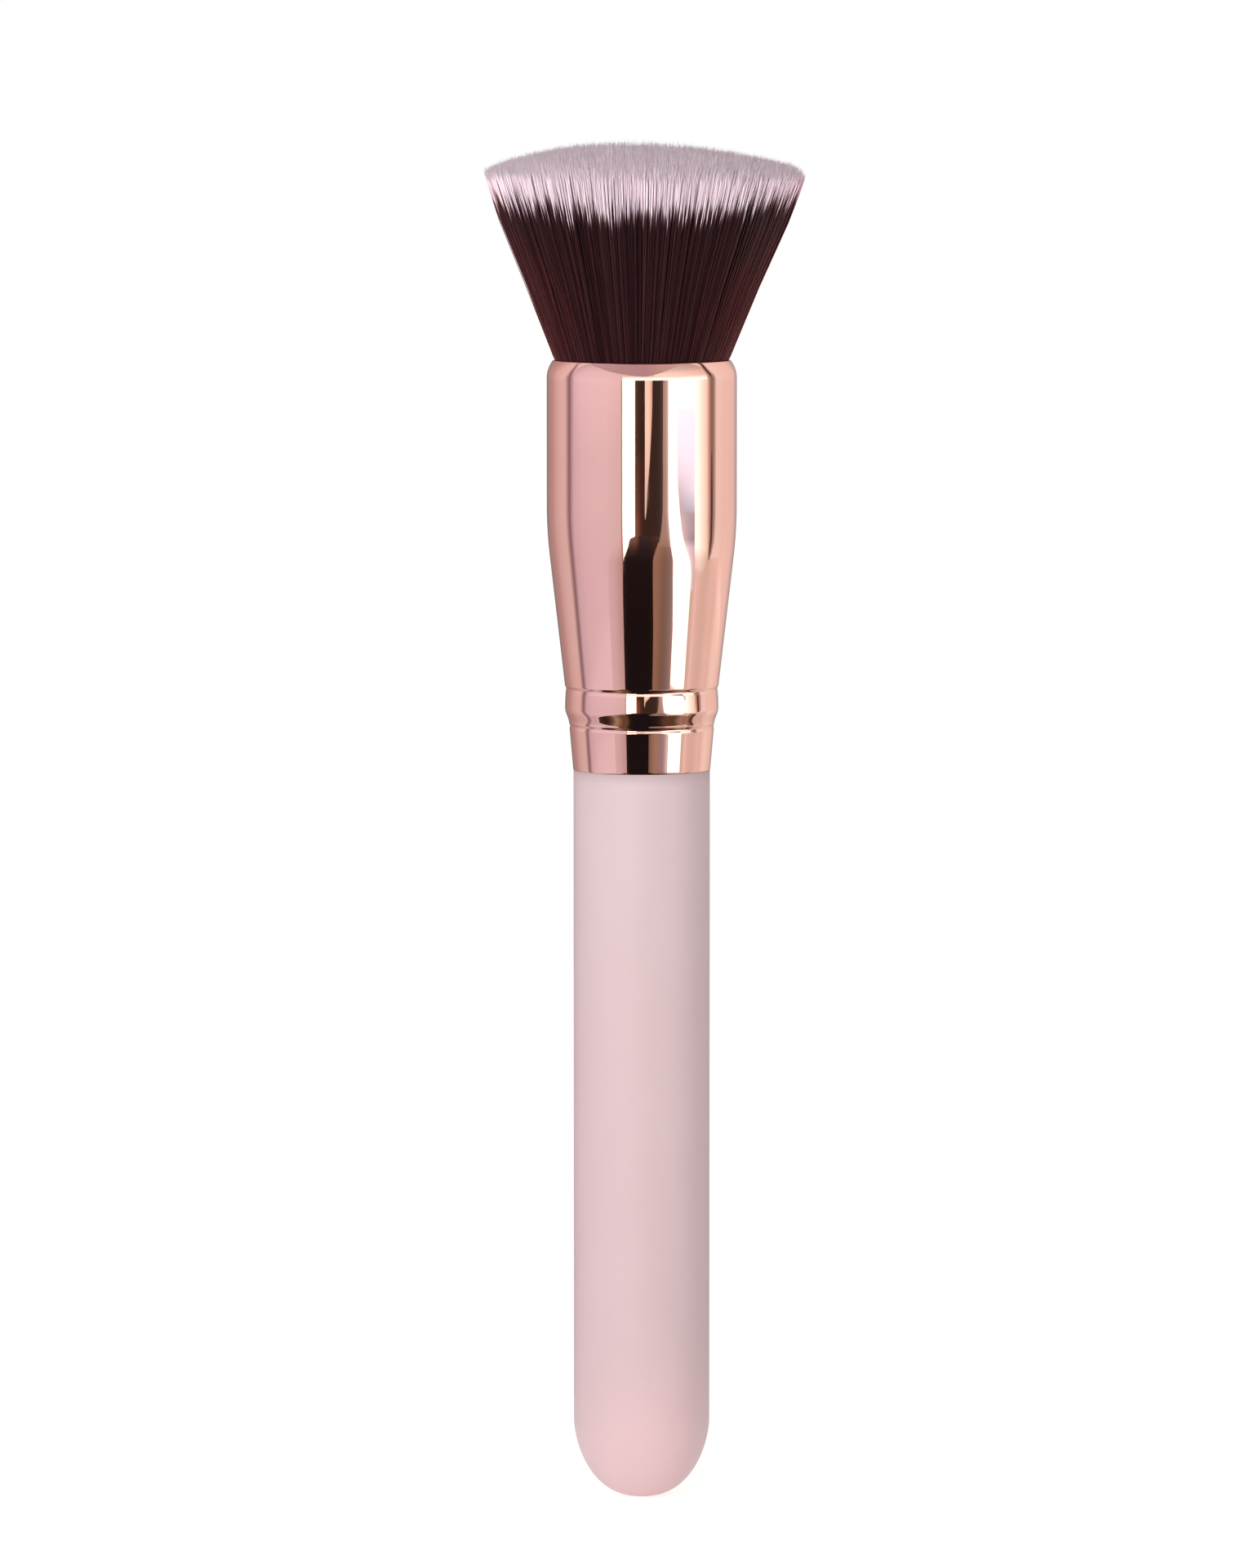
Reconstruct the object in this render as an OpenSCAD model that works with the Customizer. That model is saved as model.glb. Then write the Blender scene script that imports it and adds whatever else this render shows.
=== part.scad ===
// Flat-top kabuki makeup brush, standing on its butt with the bristles up.
// The axis of the brush is Z and the lowest point of the handle is the origin. All lengths are in millimetres.

/* [Handle] */
// Diameter of the grip over its lacquer
grip_d = 16.7; // [14:0.1:18.4]
// Length of handle that shows below the ferrule
grip_len = 89.8; // [60:0.1:120]
// Length of the rounded butt end, measured up from the lowest point
butt_len = 9.5; // [6:0.1:16]
// Thickness of the lacquer coat
lacquer_t = 0.2; // [0.1:0.05:0.4]
// Length of the turned tenon inside the ferrule
tenon_len = 21; // [14:0.5:23]
// Depth of the glue grooves in the tenon
glue_groove_depth = 0.5; // [0.2:0.1:1]
// Width of each glue groove
glue_groove_w = 1.2; // [0.6:0.1:2]
// Number of glue grooves
glue_grooves = 3; // [1:1:4]
// Chamfer at the top of the tenon
tenon_chamfer = 1; // [0.4:0.1:2]

/* [Ferrule] */
// Largest diameter of the ferrule
ferrule_d = 23.2; // [22:0.1:28]
// Thickness of the drawn metal wall
ferrule_wall = 0.4; // [0.3:0.05:0.6]
// Height of the tail, from the handle to the lower rolled groove
tail_len = 5.4; // [4:0.1:9]
// Height of the bead between the two rolled grooves
bead_len = 4.6; // [3.8:0.1:8]
// Height of the taper, from the upper groove to the straight body
taper_len = 19.3; // [16:0.1:30]
// Height of the straight body
body_len = 18.6; // [16:0.1:30]
// Height of the rounded shoulder
shoulder_len = 2.2; // [1.6:0.1:3]
// How far the shoulder turns in
shoulder_in = 0.8; // [0.5:0.1:1.2]
// How far the tail's foot stands out from the grip
tail_step = 0.03; // [0:0.01:0.2]
// How much the tail widens up to the lower groove
tail_flare = 0.46; // [0.2:0.02:0.7]
// How far the foot of the bead stands out from the top of the tail
bead_step = 0.05; // [0:0.01:0.3]
// How far the bead stands out from its own foot
bead_rise = 0.47; // [0.2:0.01:0.7]
// How far the foot of the taper stands out from the bead
taper_step = 0.03; // [0:0.01:0.3]
// Depth of the rolled grooves
roll_depth = 0.1; // [0.05:0.01:0.2]
// Width of the rolled grooves
roll_w = 0.6; // [0.5:0.1:1.2]

/* [Bristles] */
// Diameter of the tuft at its widest, at the rim
tuft_d = 39.2; // [30:0.1:48]
// Height of the flared side, from the mouth of the ferrule to the rim
flare_len = 22.7; // [16:0.1:34]
// Rise of the domed top above the rim
crown_rise = 3.9; // [1:0.1:7]
// Part of that rise that the rounded edge takes
edge_drop = 0.8; // [0.2:0.1:1]
// Number of strands that stand for the filaments
strands = 460; // [300:10:500]
// Width of a strand as a share of the room that its neighbours leave it
strand_fill_share = 0.94; // [0.5:0.02:0.96]
// Length of a strand's pointed tip
strand_point_len = 1.6; // [0.8:0.1:4]

/* [Root of the tuft] */
// Depth from the mouth of the ferrule down to the epoxy
free_depth = 12; // [8:0.5:14]
// Thickness of the slice of epoxy that the strands are set in
root_slice_t = 1; // [0.6:0.1:2]
// Height of the rest of the epoxy plug
plug_len = 12.5; // [10:0.5:14]
// Diameter of the binding cord
cord_d = 0.6; // [0.4:0.1:1]
// Turns of binding cord side by side
cord_turns = 6; // [3:1:9]
// Height of epoxy above the binding
cord_cover = 3; // [1:0.5:3.5]

/* [Clearances] */
// Gap between the tenon and the foot of the ferrule, which the glue fills
tenon_gap = 0.15; // [0.1:0.05:0.3]
// Gap that keeps set glue and epoxy clear of what they touch
bond_gap = 0.02; // [0.01:0.01:0.05]
// Gap between the tuft and the lip of the ferrule
lip_gap = 0.1; // [0.05:0.05:0.3]

/* [Hidden] */

// Overrun of every cutting shape
over = 0.01;

// Shape exponents of the butt: how blunt its tip is, and how it sweeps into the grip
butt_blunt = 2.5;
butt_sweep = 1.7;
butt_steps = 24;

// Corners of a glue groove: across as a share of half its width, inward as a share of its depth
groove_corner_shares = [[-1, 0], [-0.5, 1], [0.5, 1], [1, 0]];

// Steps of each curve of the ferrule's outline
roll_steps = 8;
blend_steps = 10;
shoulder_steps = 12;
// Height of the cone of the bead over the lower groove's middle, as a share of the bead's height
bead_cone_share = 0.43;
// Share of the cone's height over which it curves into the straight part of the bead
bead_blend_share = 0.2;
// Share of the taper's height over which it curves into the straight body
blend_share = 0.16;

// Turn from one strand to the next on the sunflower spiral, and the closest that two strands come there
// as a share of the spiral's radius over the root of their number
golden_angle = 137.508;
closest_share = 1.5;
// Power that sets how near the rim the tuft's top starts to round over
edge_power = 40;
// Sides of a strand
strand_sides = 3;
// Index steps between a strand and its nearest neighbours on the spiral
neighbour_steps = [1, 2, 3, 5, 8, 13, 21, 34, 55, 89];

// Heights on the axis, from the butt up
foot_z = grip_len;
tenon_top_z = foot_z + tenon_len;
lower_roll_z = foot_z + tail_len;
upper_roll_z = lower_roll_z + bead_len;
body_z = upper_roll_z + taper_len;
shoulder_z = body_z + body_len;
mouth_z = shoulder_z + shoulder_len;
rim_z = mouth_z + flare_len;
slice_top_z = mouth_z - free_depth;
slice_z = slice_top_z - root_slice_t;
plug_z = slice_z - plug_len;
cord_top_z = slice_z - cord_cover;
cord_z = cord_top_z - cord_d * cord_turns;

// Radii of the handle and the ferrule
grip_r = grip_d / 2;
core_r = grip_r - lacquer_t;
foot_r = grip_r + tail_step;
tenon_r = foot_r - ferrule_wall - tenon_gap;
tail_r = foot_r + tail_flare;
bead_foot_r = tail_r + bead_step;
bead_r = bead_foot_r + bead_rise;
taper_r = bead_r + taper_step;
body_r = ferrule_d / 2;

// Arc of the shoulder, from its height and how far it turns in
shoulder_r = (shoulder_len * shoulder_len + shoulder_in * shoulder_in) / (2 * shoulder_in);
shoulder_turn = asin(shoulder_len / shoulder_r);

// Radii of the tuft and of its strands, in the mouth and at the rim
strand_share = strand_fill_share * closest_share / 2 / sqrt(strands);
lip_r = body_r - shoulder_in - ferrule_wall * cos(shoulder_turn);
tuft_mouth_r = (lip_r - lip_gap) / (1 + strand_share);
strand_root_r = tuft_mouth_r * strand_share;
tuft_rim_r = tuft_d / 2;
strand_head_r = tuft_rim_r * strand_share;

// Unit vector to the left of the way from a to b
function left_of(a, b) = [a.y - b.y, b.x - a.x] / norm(b - a);

// The outline moved left by a distance, each corner along the mean of its two sides
function inset(path, distance) =
  let (last = len(path) - 1)
  [for (i = [0 : last])
    let (
      before = left_of(path[max(i - 1, 0)], path[max(i, 1)]),
      after = left_of(path[min(i, last - 1)], path[min(i + 1, last)]),
      mean = before + after
    )
    path[i] + distance * 2 * mean / (mean * mean)
  ];

function reversed(path) = [for (i = [len(path) - 1 : -1 : 0]) path[i]];

// Rolled groove round the ferrule, sunk from the radius below it to the radius above it
function roll_groove(z, r_below, r_above) =
  [for (i = [0 : roll_steps])
    let (s = i / roll_steps)
    [r_below + (r_above - r_below) * s - roll_depth * sin(180 * s), z + roll_w * (s - 1 / 2)]
  ];

// Curve from one line into the next, round the corner where they would meet
function blend(start, corner, end) =
  [for (i = [0 : blend_steps])
    let (s = i / blend_steps)
    (1 - s) * (1 - s) * start + 2 * s * (1 - s) * corner + s * s * end
  ];

// Cone of the bead, from the upper edge of the lower groove into the bead's straight part
function bead_cone() =
  let (
    low = [bead_foot_r, lower_roll_z + roll_w / 2],
    corner = [bead_r, lower_roll_z + bead_len * bead_cone_share],
    start = corner + (low - corner) * bead_blend_share,
    end = [bead_r, corner.y + (corner.y - low.y) * bead_blend_share]
  )
  blend(start, corner, end);

// Curve that leads the taper into the straight body
function taper_blend() =
  let (
    low_z = upper_roll_z + roll_w / 2,
    blend_len = taper_len * blend_share,
    slope = (body_r - taper_r) / (body_z - low_z),
    start = [body_r - slope * blend_len, body_z - blend_len],
    end = [body_r, body_z + blend_len]
  )
  blend(start, [body_r, body_z], end);

// Shoulder, from the straight body round to the mouth
function shoulder_arc() =
  [for (i = [0 : shoulder_steps])
    let (a = shoulder_turn * i / shoulder_steps)
    [body_r - shoulder_r * (1 - cos(a)), shoulder_z + shoulder_r * sin(a)]
  ];

// Outside of the ferrule, from its foot to its mouth
function ferrule_outside() =
  concat(
    [[foot_r, foot_z]],
    roll_groove(lower_roll_z, tail_r, bead_foot_r),
    bead_cone(),
    roll_groove(upper_roll_z, bead_r, taper_r),
    taper_blend(),
    shoulder_arc()
  );

// Inside of the ferrule, or a line further in by a depth
function ferrule_inside(depth = 0) = inset(ferrule_outside(), ferrule_wall + depth);

// Room inside the ferrule between two heights, as half a section, kept a depth off the wall
module room_between(low, high, depth) {
  wall = ferrule_inside(depth);
  intersection() {
    polygon(concat([[0, wall[0].y]], wall, [[0, wall[len(wall) - 1].y]]));
    translate([0, low]) square([ferrule_d, high - low]);
  }
}

// Rounded butt as half a section, from the axis out to the grip
function butt_curve(r, length, low_z) =
  [for (i = [0 : butt_steps])
    let (a = 90 * i / butt_steps)
    [r * pow(sin(a), 2 / butt_blunt), low_z + length * (1 - pow(cos(a), 2 / butt_sweep))]
  ];

// Side of the tenon with its glue grooves, going up
function tenon_side() =
  let (pitch = (tenon_len - tenon_chamfer) / (glue_grooves + 1))
  concat(
    [[tenon_r, foot_z]],
    [for (i = [1 : glue_grooves])
      for (corner = groove_corner_shares)
        [tenon_r - glue_groove_depth * corner.y, foot_z + pitch * i + glue_groove_w / 2 * corner.x]
    ],
    [[tenon_r, tenon_top_z - tenon_chamfer], [tenon_r - tenon_chamfer, tenon_top_z]]
  );

// Tenon as half a section, let down into the grip by the overrun and grown by a gap
module tenon_section(gap) {
  side = inset(tenon_side(), -gap);
  polygon(concat([[0, foot_z - over], [side[0].x, foot_z - over]], side, [[0, side[len(side) - 1].y]]));
}

// Turned wooden handle with its tenon
module handle_core() {
  butt = butt_curve(core_r, butt_len - lacquer_t, lacquer_t);
  color("burlywood")
    rotate_extrude($fn = 96)
      union() {
        polygon(concat(butt, [[core_r, foot_z], [0, foot_z]]));
        tenon_section(0);
      }
}

// Satin lacquer over the grip and the butt
module handle_lacquer() {
  outside = butt_curve(grip_r, butt_len, 0);
  inside = butt_curve(core_r, butt_len - lacquer_t, lacquer_t);
  color("#e3c8ca")
    rotate_extrude($fn = 96)
      polygon(concat(outside, [[grip_r, foot_z], [core_r, foot_z]], reversed(inside)));
}

// Spun metal tube with a rounded shoulder, a taper, two rolled grooves and a bead between them
module ferrule() {
  color("#d9a091")
    rotate_extrude($fn = 96)
      polygon(concat(ferrule_outside(), reversed(ferrule_inside())));
}

// Set glue that fills the room between the tenon and the ferrule
module tenon_adhesive() {
  color("ivory")
    rotate_extrude($fn = 96)
      difference() {
        room_between(foot_z, tenon_top_z - tenon_chamfer, bond_gap);
        tenon_section(bond_gap);
      }
}

// Epoxy that locks the roots, with a seat for the binding round it
module epoxy_plug() {
  color("goldenrod")
    rotate_extrude($fn = 96)
      difference() {
        room_between(plug_z, slice_z, bond_gap);
        difference() {
          translate([0, cord_z - bond_gap]) square([ferrule_d, cord_top_z - cord_z + 2 * bond_gap]);
          room_between(plug_z, slice_z, cord_d + 2 * bond_gap);
        }
      }
}

// Binding cord wound round the roots, as the plain band that its turns fill
module binding_cord() {
  color("whitesmoke")
    rotate_extrude($fn = 96)
      difference() {
        room_between(cord_z, cord_top_z, bond_gap);
        room_between(cord_z - over, cord_top_z + over, cord_d + bond_gap);
      }
}

// Distance of strand i from the axis as a share of the tuft's radius, even over its area
function spiral_share(i) = sqrt((i + 1 / 2) / strands);

// Height of the tuft's top at a share of its radius
function crown_z(u) =
  rim_z + (crown_rise - edge_drop) * (1 - u * u) + edge_drop * (1 - pow(u, edge_power));

// Centre of strand i at its root, in the mouth, where it is thickest and at its tip
function strand_line(i) =
  let (
    u = spiral_share(i),
    a = golden_angle * i,
    out = [cos(a), sin(a), 0],
    up = [0, 0, 1],
    root = u * tuft_mouth_r * out + (slice_z + root_slice_t / 2) * up,
    mouth = u * tuft_mouth_r * out + mouth_z * up,
    tip = u * tuft_rim_r * out + crown_z(u) * up,
    head = tip + strand_point_len * (mouth - tip) / norm(mouth - tip) - u * strand_head_r / 2 * out
  )
  [root, mouth, head, tip];

// Corners of strand i round one of its centres, with a flat side turned outward
function strand_ring(i, centre, r) =
  [for (k = [0 : strand_sides - 1])
    let (a = golden_angle * i + 360 * (k + 1 / 2) / strand_sides)
    centre + r * [cos(a), sin(a), 0]
  ];

// Corners of every strand: three rings and a point each
function strand_points() =
  [for (i = [0 : strands - 1])
    let (line = strand_line(i))
    each concat(
      strand_ring(i, line[0], strand_root_r),
      strand_ring(i, line[1], strand_root_r),
      strand_ring(i, line[2], strand_head_r),
      [line[3]]
    )
  ];

// Triangles of every strand: its foot, two bands round its side, and its pointed tip
function strand_faces() =
  let (n = strand_sides)
  [for (i = [0 : strands - 1])
    let (first = i * (3 * n + 1), tip = first + 3 * n)
    each concat(
      [[for (k = [0 : n - 1]) first + k]],
      [for (ring = [0 : 1])
        for (k = [0 : n - 1])
          let (a = first + ring * n + k, b = first + ring * n + (k + 1) % n)
          each [[a, a + n, b + n], [a, b + n, b]]
      ],
      [for (k = [0 : n - 1]) [first + 2 * n + k, tip, first + 2 * n + (k + 1) % n]]
    )
  ];

// Least gap between neighbouring strands of a radius, at one of their centres
function least_gap(level, r) =
  let (centres = [for (i = [0 : strands - 1]) strand_line(i)[level]])
  min([
    for (i = [0 : strands - 1])
      for (step = neighbour_steps)
        if (i + step < strands) norm(centres[i + step] - centres[i]) - 2 * r
  ]);

// Tuft of two-tone filaments, set in a slice of the epoxy
module bristles() {
  echo(gap_in_mouth = least_gap(1, strand_root_r), gap_at_heads = least_gap(2, strand_head_r));
  color("#3a2023") {
    rotate_extrude($fn = 96) room_between(slice_z, slice_top_z, bond_gap);
    polyhedron(strand_points(), strand_faces());
  }
}

handle_core();
handle_lacquer();
ferrule();
tenon_adhesive();
epoxy_plug();
binding_cord();
bristles();
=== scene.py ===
"""Flat-top kabuki makeup brush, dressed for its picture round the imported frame.

Sizes are in millimetres until a mesh is made, and the axis of the brush is Z. Azimuths are degrees round
the brush, 0 towards the camera and growing to its right. Elevations are degrees above the horizon.
"""
import math

import bpy
import numpy as np
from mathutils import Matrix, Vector


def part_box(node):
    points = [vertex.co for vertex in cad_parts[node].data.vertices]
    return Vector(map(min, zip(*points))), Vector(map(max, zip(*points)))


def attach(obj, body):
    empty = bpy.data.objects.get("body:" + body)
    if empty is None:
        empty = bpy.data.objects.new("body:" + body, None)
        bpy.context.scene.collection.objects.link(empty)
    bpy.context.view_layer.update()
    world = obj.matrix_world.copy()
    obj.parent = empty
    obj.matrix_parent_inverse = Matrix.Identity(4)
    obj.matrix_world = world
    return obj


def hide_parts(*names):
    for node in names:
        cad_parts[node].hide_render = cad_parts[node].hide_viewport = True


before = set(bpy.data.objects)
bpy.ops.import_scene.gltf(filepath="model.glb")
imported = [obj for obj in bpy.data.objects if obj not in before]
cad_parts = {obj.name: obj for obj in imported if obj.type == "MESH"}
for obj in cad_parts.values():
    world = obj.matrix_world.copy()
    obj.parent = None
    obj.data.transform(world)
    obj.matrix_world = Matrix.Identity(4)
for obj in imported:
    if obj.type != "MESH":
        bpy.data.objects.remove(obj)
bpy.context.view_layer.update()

MM = 0.001
# A length in mm, or a share, that counts as none
TINY = 1e-6
ROOT_BODY = "root"

# The photograph's frame and the brush's place in it, in its own pixels
PHOTO_W, PHOTO_H = 1536, 1920
AXIS_COLUMN = 786
PX_PER_MM = 10
# Camera: distance from the brush, height over its foot, height that it is aimed at, and width of its sensor
CAMERA_AWAY, CAMERA_HEIGHT, AIM_HEIGHT = 1000, 175, 88
SENSOR_W = 36

# Handle, and how bluntly its butt goes round and how fast it sweeps up
GRIP_R, LACQUER_T, BUTT_LEN = 8.35, 0.2, 9.5
BUTT_BLUNT, BUTT_SWEEP = 2.5, 1.7
BUTT_POINTS, GRIP_POINTS = 60, 40

# Ferrule: heights and steps of its outline, going up
FERRULE_R, WALL = 11.6, 0.4
TAIL_STEP, TAIL_LEN, TAIL_FLARE = 0.03, 5.4, 0.46
BEAD_STEP, BEAD_LEN, BEAD_RISE = 0.05, 4.6, 0.49
ROLL_W, ROLL_DEPTH = 0.6, 0.1
TAPER_STEP, TAPER_LEN, BLEND_SHARE = 0.01, 19.3, 0.16
SHOULDER_LEN, SHOULDER_IN = 2.2, 0.8
# Where the bead's S-shaped foot ends, as a share of its height, and how far its top rolls back in
BEAD_FOOT_SHARE = 0.47
BEAD_CURL = 0.09
ROLL_POINTS, CURVE_POINTS = 24, 32
# How far the rolled and spun corners of the metal are rounded, the points along that length, and how many
# points the rounding reaches each way
METAL_ROUND, ROUND_POINTS, ROUND_REACH = 0.07, 5, 20

# Lathe: sides of a round piece, and the turn in degrees, the length and the two multiplied that a step of an
# outline may take
LATHE_SIDES = 192
STEP_TURN, STEP_LEN, STEP_BOTH = 3, 1.2, 0.15

# Tuft: its radius at the rim, its dome, and its radii in the mouth and over the ferrule's lip
TUFT_R, CROWN_RISE, EDGE_DROP, EDGE_POWER = 19.6, 3.9, 0.8, 40
NECK_R, LIP_OVER_R = 10.25, 10.65
# Slice of epoxy that the filaments are set in, and the gap between glued pieces
SLICE_T, SLICE_EDGE = 1, 0.08
BOND_GAP = 0.02

# Binding cord, and the sides and steps of each turn of its mesh
CORD_D, CORD_TURNS = 0.6, 6
CORD_SIDES, CORD_STEPS = 12, 72
# A winding is a thickness taller than the band that stands for it in the frame, so half a turn is left off
CORD_SHORT = 0.5

# Studio: radius of the ring of cards, of a nearer ring for what only one part of the metal mirrors, and of
# the floor
CARD_RING_R, NEAR_RING_R, FLOOR_R = 300, 60, 600


def low_z(name):
    """Lowest height of a node of the frame, in mm."""
    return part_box(name)[0].z / MM


def high_z(name):
    """Highest height of a node of the frame, in mm."""
    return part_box(name)[1].z / MM


FOOT_Z = low_z("ferrule")
MOUTH_Z = high_z("ferrule")
SLICE_Z = low_z("bristles")
CORD_Z = low_z("binding_cord")
RIM_Z = high_z("bristles") - CROWN_RISE


def colour(code):
    """Linear colour of an sRGB hex code, with alpha 1."""
    parts = [int(code[i:i + 2], 16) / 255 for i in (1, 3, 5)]
    return [p / 12.92 if p <= 0.04045 else ((p + 0.055) / 1.055) ** 2.4 for p in parts] + [1]


def node(tree, kind, inputs=None, **settings):
    """Adds a node. inputs maps a socket's name or number to a value or to another node's output."""
    made = tree.nodes.new(kind)
    for name, value in settings.items():
        setattr(made, name, value)
    for key, value in (inputs or {}).items():
        if isinstance(value, bpy.types.NodeSocket):
            tree.links.new(value, made.inputs[key])
        else:
            made.inputs[key].default_value = value
    return made


# Sockets of a Mix node: its two numbers, its two colours and the colour that comes out
NUMBER_A, NUMBER_B, COLOUR_A, COLOUR_B, COLOUR_OUT = 2, 3, 6, 7, 2


def between(factor, low, high):
    """Inputs of a Mix node that goes from one hex code to another."""
    return {0: factor, COLOUR_A: colour(low), COLOUR_B: colour(high)}


def finish(name, shade):
    """New material whose surface is the shader that shade(tree) makes."""
    material = bpy.data.materials.new(name)
    material.use_nodes = True
    tree = material.node_tree
    tree.nodes.clear()
    node(tree, "ShaderNodeOutputMaterial", {"Surface": shade(tree).outputs[0]})
    return material


def grain(tree, place, across, detail=3.0):
    """Even noise from 0 to 1 whose cells are across = (x, y, z) mm wide."""
    scaled = node(tree, "ShaderNodeMapping", {"Vector": place, "Scale": [1 / (a * MM) for a in across]})
    noise = node(tree, "ShaderNodeTexNoise", {"Vector": scaled.outputs[0], "Scale": 1.0, "Detail": detail})
    return noise.outputs[0]


def satin_lacquer(tree):
    """Pigmented nitrocellulose lacquer, sprayed and left satin: a soft broad sheen over even pale pink."""
    place = node(tree, "ShaderNodeTexCoord").outputs["Object"]
    cloud = grain(tree, place, (9, 9, 14))
    peel = grain(tree, place, (0.7, 0.7, 0.9), 2.0)
    bump = node(tree, "ShaderNodeBump", {"Height": peel, "Distance": 0.004 * MM, "Strength": 0.5})
    rough = node(tree, "ShaderNodeMapRange", {"Value": cloud, "To Min": 0.4, "To Max": 0.5})
    tint = node(tree, "ShaderNodeMix", between(cloud, "#E3C6C9", "#EACED1"), data_type="RGBA")
    return node(tree, "ShaderNodeBsdfPrincipled", {
        "Base Color": tint.outputs[COLOUR_OUT],
        "Roughness": rough.outputs[0],
        "IOR": 1.5,
        "Normal": bump.outputs[0],
    })


def rose_gold_aluminium(tree):
    """Aluminium, drawn, spun and anodised rose gold: a mirror with faint turning lines and smudges."""
    place = node(tree, "ShaderNodeTexCoord").outputs["Object"]
    # Real turning lines are some hundredths of a millimetre apart. They are drawn coarser, so that they show.
    lines = grain(tree, place, (40, 40, 0.25), 2.0)
    dents = grain(tree, place, (2.2, 2.2, 5), 1.0)
    smudge = grain(tree, place, (5, 5, 4), 4.0)
    turned = node(tree, "ShaderNodeBump", {"Height": lines, "Distance": 0.00003 * MM, "Strength": 1.0})
    bump = node(tree, "ShaderNodeBump", {
        "Height": dents, "Distance": 0.002 * MM, "Strength": 1.0, "Normal": turned.outputs[0],
    })
    rough = node(tree, "ShaderNodeMapRange", {
        "Value": smudge, "From Min": 0.35, "From Max": 0.8, "To Min": 0.02, "To Max": 0.06,
    })
    tint = node(tree, "ShaderNodeMix", between(smudge, "#F0C2B3", "#EDBDAE"), data_type="RGBA")
    return node(tree, "ShaderNodeBsdfPrincipled", {
        "Base Color": tint.outputs[COLOUR_OUT],
        "Metallic": 1.0,
        "Roughness": rough.outputs[0],
        "Normal": bump.outputs[0],
    })


# Filaments carry their looks in one map: a column for each length of pale tip and each tone of dye, and the
# distance from the tip going up the column
MAP_NAME = "OFBake"
TIP_STEPS, TIP_STEP_LEN = 64, 0.25
TONES = 8
MAP_LEN = 42
MAP_STEPS = MAP_LEN / TIP_STEP_LEN
# The dye fades out in two steps, through a dull red: where each starts and ends past the pale tip, in steps
# of its length
RED_FADE, BROWN_FADE = (-3.0, 2.0), (0.0, 5.0)


def dyed_filament(tree):
    """Tapered PBT filament, extruded, dyed dark brown but for a pale tip: fine strands with a soft sheen."""
    place = node(tree, "ShaderNodeUVMap", uv_map=MAP_NAME).outputs[0]
    parts = node(tree, "ShaderNodeSeparateXYZ", {0: place}).outputs
    column = node(tree, "ShaderNodeMath", {0: parts[0], 1: TIP_STEPS}, operation="MULTIPLY").outputs[0]
    tip_len = node(tree, "ShaderNodeMath", {0: column}, operation="FLOOR").outputs[0]
    tone_part = node(tree, "ShaderNodeMath", {0: column}, operation="FRACT").outputs[0]
    tone_step = node(tree, "ShaderNodeMath", {0: tone_part, 1: TONES}, operation="MULTIPLY").outputs[0]
    tone_floor = node(tree, "ShaderNodeMath", {0: tone_step}, operation="FLOOR").outputs[0]
    tone = node(tree, "ShaderNodeMath", {0: tone_floor, 1: TONES - 1}, operation="DIVIDE").outputs[0]
    up = node(tree, "ShaderNodeMath", {0: parts[1], 1: MAP_STEPS}, operation="MULTIPLY").outputs[0]
    past = node(tree, "ShaderNodeMath", {0: up, 1: tip_len}, operation="SUBTRACT").outputs[0]
    pale = node(tree, "ShaderNodeMix", between(tone, "#F7E3EC", "#E6D0DA"), data_type="RGBA")
    brown = node(tree, "ShaderNodeMix", between(tone, "#290F12", "#38181B"), data_type="RGBA")
    base = pale.outputs[COLOUR_OUT]
    for (start, end), dye in ((RED_FADE, colour("#7C5860")), (BROWN_FADE, brown.outputs[COLOUR_OUT])):
        part = node(tree, "ShaderNodeMapRange", {
            "Value": past, "From Min": start, "From Max": end,
        }, interpolation_type="SMOOTHSTEP")
        dyed = {0: part.outputs[0], COLOUR_A: base, COLOUR_B: dye}
        base = node(tree, "ShaderNodeMix", dyed, data_type="RGBA").outputs[COLOUR_OUT]
    return node(tree, "ShaderNodeBsdfPrincipled", {
        "Base Color": base,
        "Roughness": 0.45,
        "IOR": 1.5,
        "Specular IOR Level": 0.4,
    })


def turned_birch(tree):
    """Birch, turned and sanded: pale straight grain along the handle with faint darker year lines."""
    place = node(tree, "ShaderNodeTexCoord").outputs["Object"]
    years = grain(tree, place, (1.6, 5, 60), 2.0)
    pores = grain(tree, place, (0.25, 0.25, 4), 2.0)
    bump = node(tree, "ShaderNodeBump", {"Height": pores, "Distance": 0.02 * MM, "Strength": 0.4})
    tint = node(tree, "ShaderNodeMix", between(years, "#E6CFA3", "#C9A877"), data_type="RGBA")
    return node(tree, "ShaderNodeBsdfPrincipled", {
        "Base Color": tint.outputs[COLOUR_OUT],
        "Roughness": 0.6,
        "Normal": bump.outputs[0],
    })


def wood_glue(tree):
    """Polyvinyl acetate glue, set in its joint: ivory, a little cloudy, with a low sheen."""
    place = node(tree, "ShaderNodeTexCoord").outputs["Object"]
    cloud = grain(tree, place, (1.5, 1.5, 1.5))
    tint = node(tree, "ShaderNodeMix", between(cloud, "#EDE3C4", "#D9CBA2"), data_type="RGBA")
    return node(tree, "ShaderNodeBsdfPrincipled", {
        "Base Color": tint.outputs[COLOUR_OUT],
        "Roughness": 0.4,
    })


def amber_epoxy(tree):
    """Two-part epoxy, cast round the roots: glossy amber, darker where it has soaked in between them."""
    place = node(tree, "ShaderNodeTexCoord").outputs["Object"]
    cloud = grain(tree, place, (0.8, 0.8, 2.5))
    tint = node(tree, "ShaderNodeMix", between(cloud, "#B98237", "#6E4118"), data_type="RGBA")
    return node(tree, "ShaderNodeBsdfPrincipled", {
        "Base Color": tint.outputs[COLOUR_OUT],
        "Roughness": 0.2,
        "IOR": 1.55,
    })


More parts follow.
